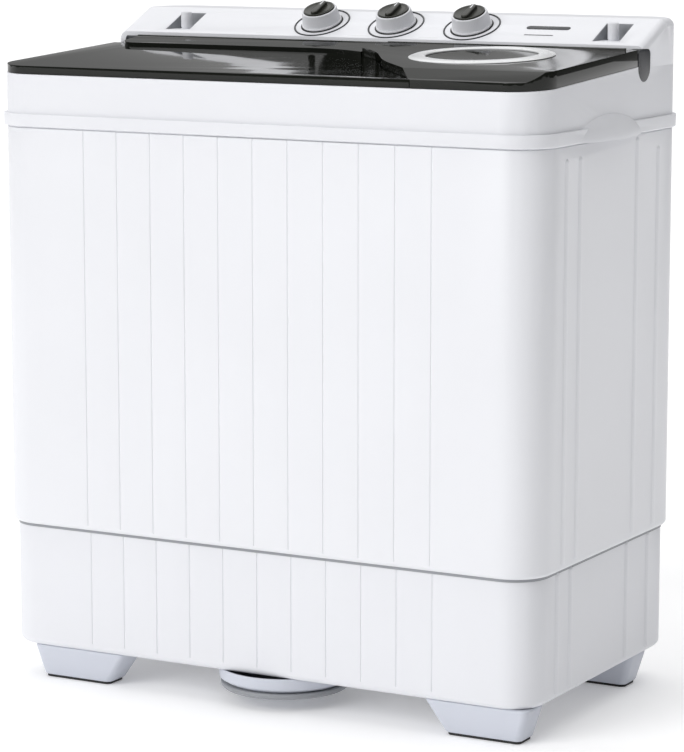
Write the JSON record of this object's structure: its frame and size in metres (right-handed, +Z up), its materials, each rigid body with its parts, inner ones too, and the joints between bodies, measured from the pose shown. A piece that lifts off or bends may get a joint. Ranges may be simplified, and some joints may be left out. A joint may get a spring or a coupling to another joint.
{
  "type": "twin tub washer",
  "caption": "Twin tub washing machine with a pulsator wash tub, a spin basket, two hinged lids, a rear control panel with dials, and a drain outlet.",
  "frame": {"origin": "on the floor under the centre of the casing", "axes": "+Z up, +X to the machine's right seen from the front, front facing -Y"},
  "size_m": [0.714, 0.393, 0.7701],
  "materials": {
    "white_plastic": "satin",
    "pale_grey_plastic": "satin",
    "white_steel": "gloss",
    "tub_plastic": "satin",
    "dark_lid": "gloss",
    "slate_plastic": "satin",
    "silver_trim": "satin",
    "grey_plastic": "satin",
    "olive_cap": "satin",
    "steel": "satin",
    "galvanised": "satin",
    "motor_iron": "matte",
    "brass": "satin",
    "black_rubber": "matte",
    "grey_rubber": "matte"
  },
  "bodies": {
    "casing": {"base": "white_plastic", "cabinet": "white_steel", "capacitors": "grey_plastic", "control_panel": "white_plastic", "cord_gland": "black_rubber", "cover_screws": "steel", "dial_rings": "slate_plastic", "drain_grille": "grey_plastic", "drain_valve": "tub_plastic", "drive_belt": "black_rubber", "feet": "pale_grey_plastic", "foot_pads": "black_rubber", "guard_rim": "grey_plastic", "hinge_brackets": "slate_plastic", "lid_switch": "grey_plastic", "lint_filter": "tub_plastic", "motor_guard": "pale_grey_plastic", "motor_mounts": "black_rubber", "rear_cover": "white_steel", "shaft_bearings": "brass", "shaft_housing": "tub_plastic", "shaft_seal": "black_rubber", "spin_bellows": "black_rubber", "spin_drain_hose": "grey_rubber", "spin_motor": "motor_iron", "spin_motor_carrier": "galvanised", "spin_outer_tub": "tub_plastic", "spin_timer": "grey_plastic", "top_frame": "white_plastic", "tub_deck": "white_plastic", "wash_drain_hose": "grey_rubber", "wash_motor": "motor_iron", "wash_motor_bracket": "galvanised", "wash_selector": "grey_plastic", "wash_timer": "grey_plastic", "wash_tub": "tub_plastic", "water_inlets": "white_plastic"},
    "pulsator_drive": {"pulsator": "tub_plastic", "pulsator_screw": "steel", "pulsator_shaft": "steel", "pulsator_pulley": "galvanised"},
    "motor_rotor": {"motor_pulley": "galvanised", "motor_shaft": "steel"},
    "spin_drum": {"spin_basket": "tub_plastic", "balance_ring": "grey_plastic", "basket_nut": "steel", "spin_shaft": "steel", "brake_drum": "motor_iron"},
    "wash_lid_body": {"wash_lid": "dark_lid"},
    "spin_lid_body": {"spin_lid": "dark_lid", "spin_lid_ring": "silver_trim"},
    "brake": {"brake_lever": "grey_plastic", "brake_shoe": "black_rubber"},
    "plunger": {"valve_plunger": "grey_plastic"},
    "wash_timer_dial": {"wash_timer_knob": "white_plastic", "wash_timer_cap": "olive_cap"},
    "selector_dial": {"wash_selector_knob": "white_plastic", "wash_selector_cap": "olive_cap"},
    "spin_timer_dial": {"spin_timer_knob": "white_plastic", "spin_timer_cap": "olive_cap"}
  },
  "joints": [
    {"name": "pulsator_spin", "type": "hinge", "parent": "casing", "child": "pulsator_drive", "pos_m": [-0.144, -0.046, 0.2], "axis": [0, 0, 1], "continuous": true},
    {"name": "motor_spin", "type": "hinge", "parent": "casing", "child": "motor_rotor", "pos_m": [-0.002, -0.12, 0.06], "axis": [0, 0, 1], "continuous": true},
    {"name": "basket_spin", "type": "hinge", "parent": "casing", "child": "spin_drum", "pos_m": [0.198, -0.042, 0.3], "axis": [0, 0, 1], "continuous": true},
    {"name": "wash_lid_hinge", "type": "hinge", "parent": "casing", "child": "wash_lid_body", "pos_m": [-0.15, 0.0675, 0.721], "axis": [-1, 0, 0], "range_deg": [0, 90]},
    {"name": "spin_lid_hinge", "type": "hinge", "parent": "casing", "child": "spin_lid_body", "pos_m": [0.18, 0.0675, 0.721], "axis": [-1, 0, 0], "range_deg": [0, 90]},
    {"name": "brake_swing", "type": "hinge", "parent": "casing", "child": "brake", "pos_m": [0.15, -0.105, 0.16], "axis": [0, 0, -1], "range_deg": [0, 1.6]},
    {"name": "plunger_lift", "type": "slide", "parent": "casing", "child": "plunger", "axis": [0, 0, 1], "range_m": [0, 0.006]},
    {"name": "wash_timer_turn", "type": "hinge", "parent": "casing", "child": "wash_timer_dial", "pos_m": [-0.081, 0.106, 0.744], "axis": [0, 0.4147, -0.91], "range_deg": [0, 300]},
    {"name": "selector_turn", "type": "hinge", "parent": "casing", "child": "selector_dial", "pos_m": [0.0165, 0.106, 0.744], "axis": [0, 0.4147, -0.91], "range_deg": [0, 90]},
    {"name": "spin_timer_turn", "type": "hinge", "parent": "casing", "child": "spin_timer_dial", "pos_m": [0.114, 0.106, 0.744], "axis": [0, 0.4147, -0.91], "range_deg": [0, 300]}
  ],
  "couplings": [
    {"joint": "motor_spin", "follows": "pulsator_spin", "ratio": 5.7407},
    {"joint": "plunger_lift", "follows": "selector_turn", "m_per_rad": 0.0038},
    {"joint": "brake_swing", "follows": "spin_lid_hinge", "ratio": 0.0166}
  ]
}
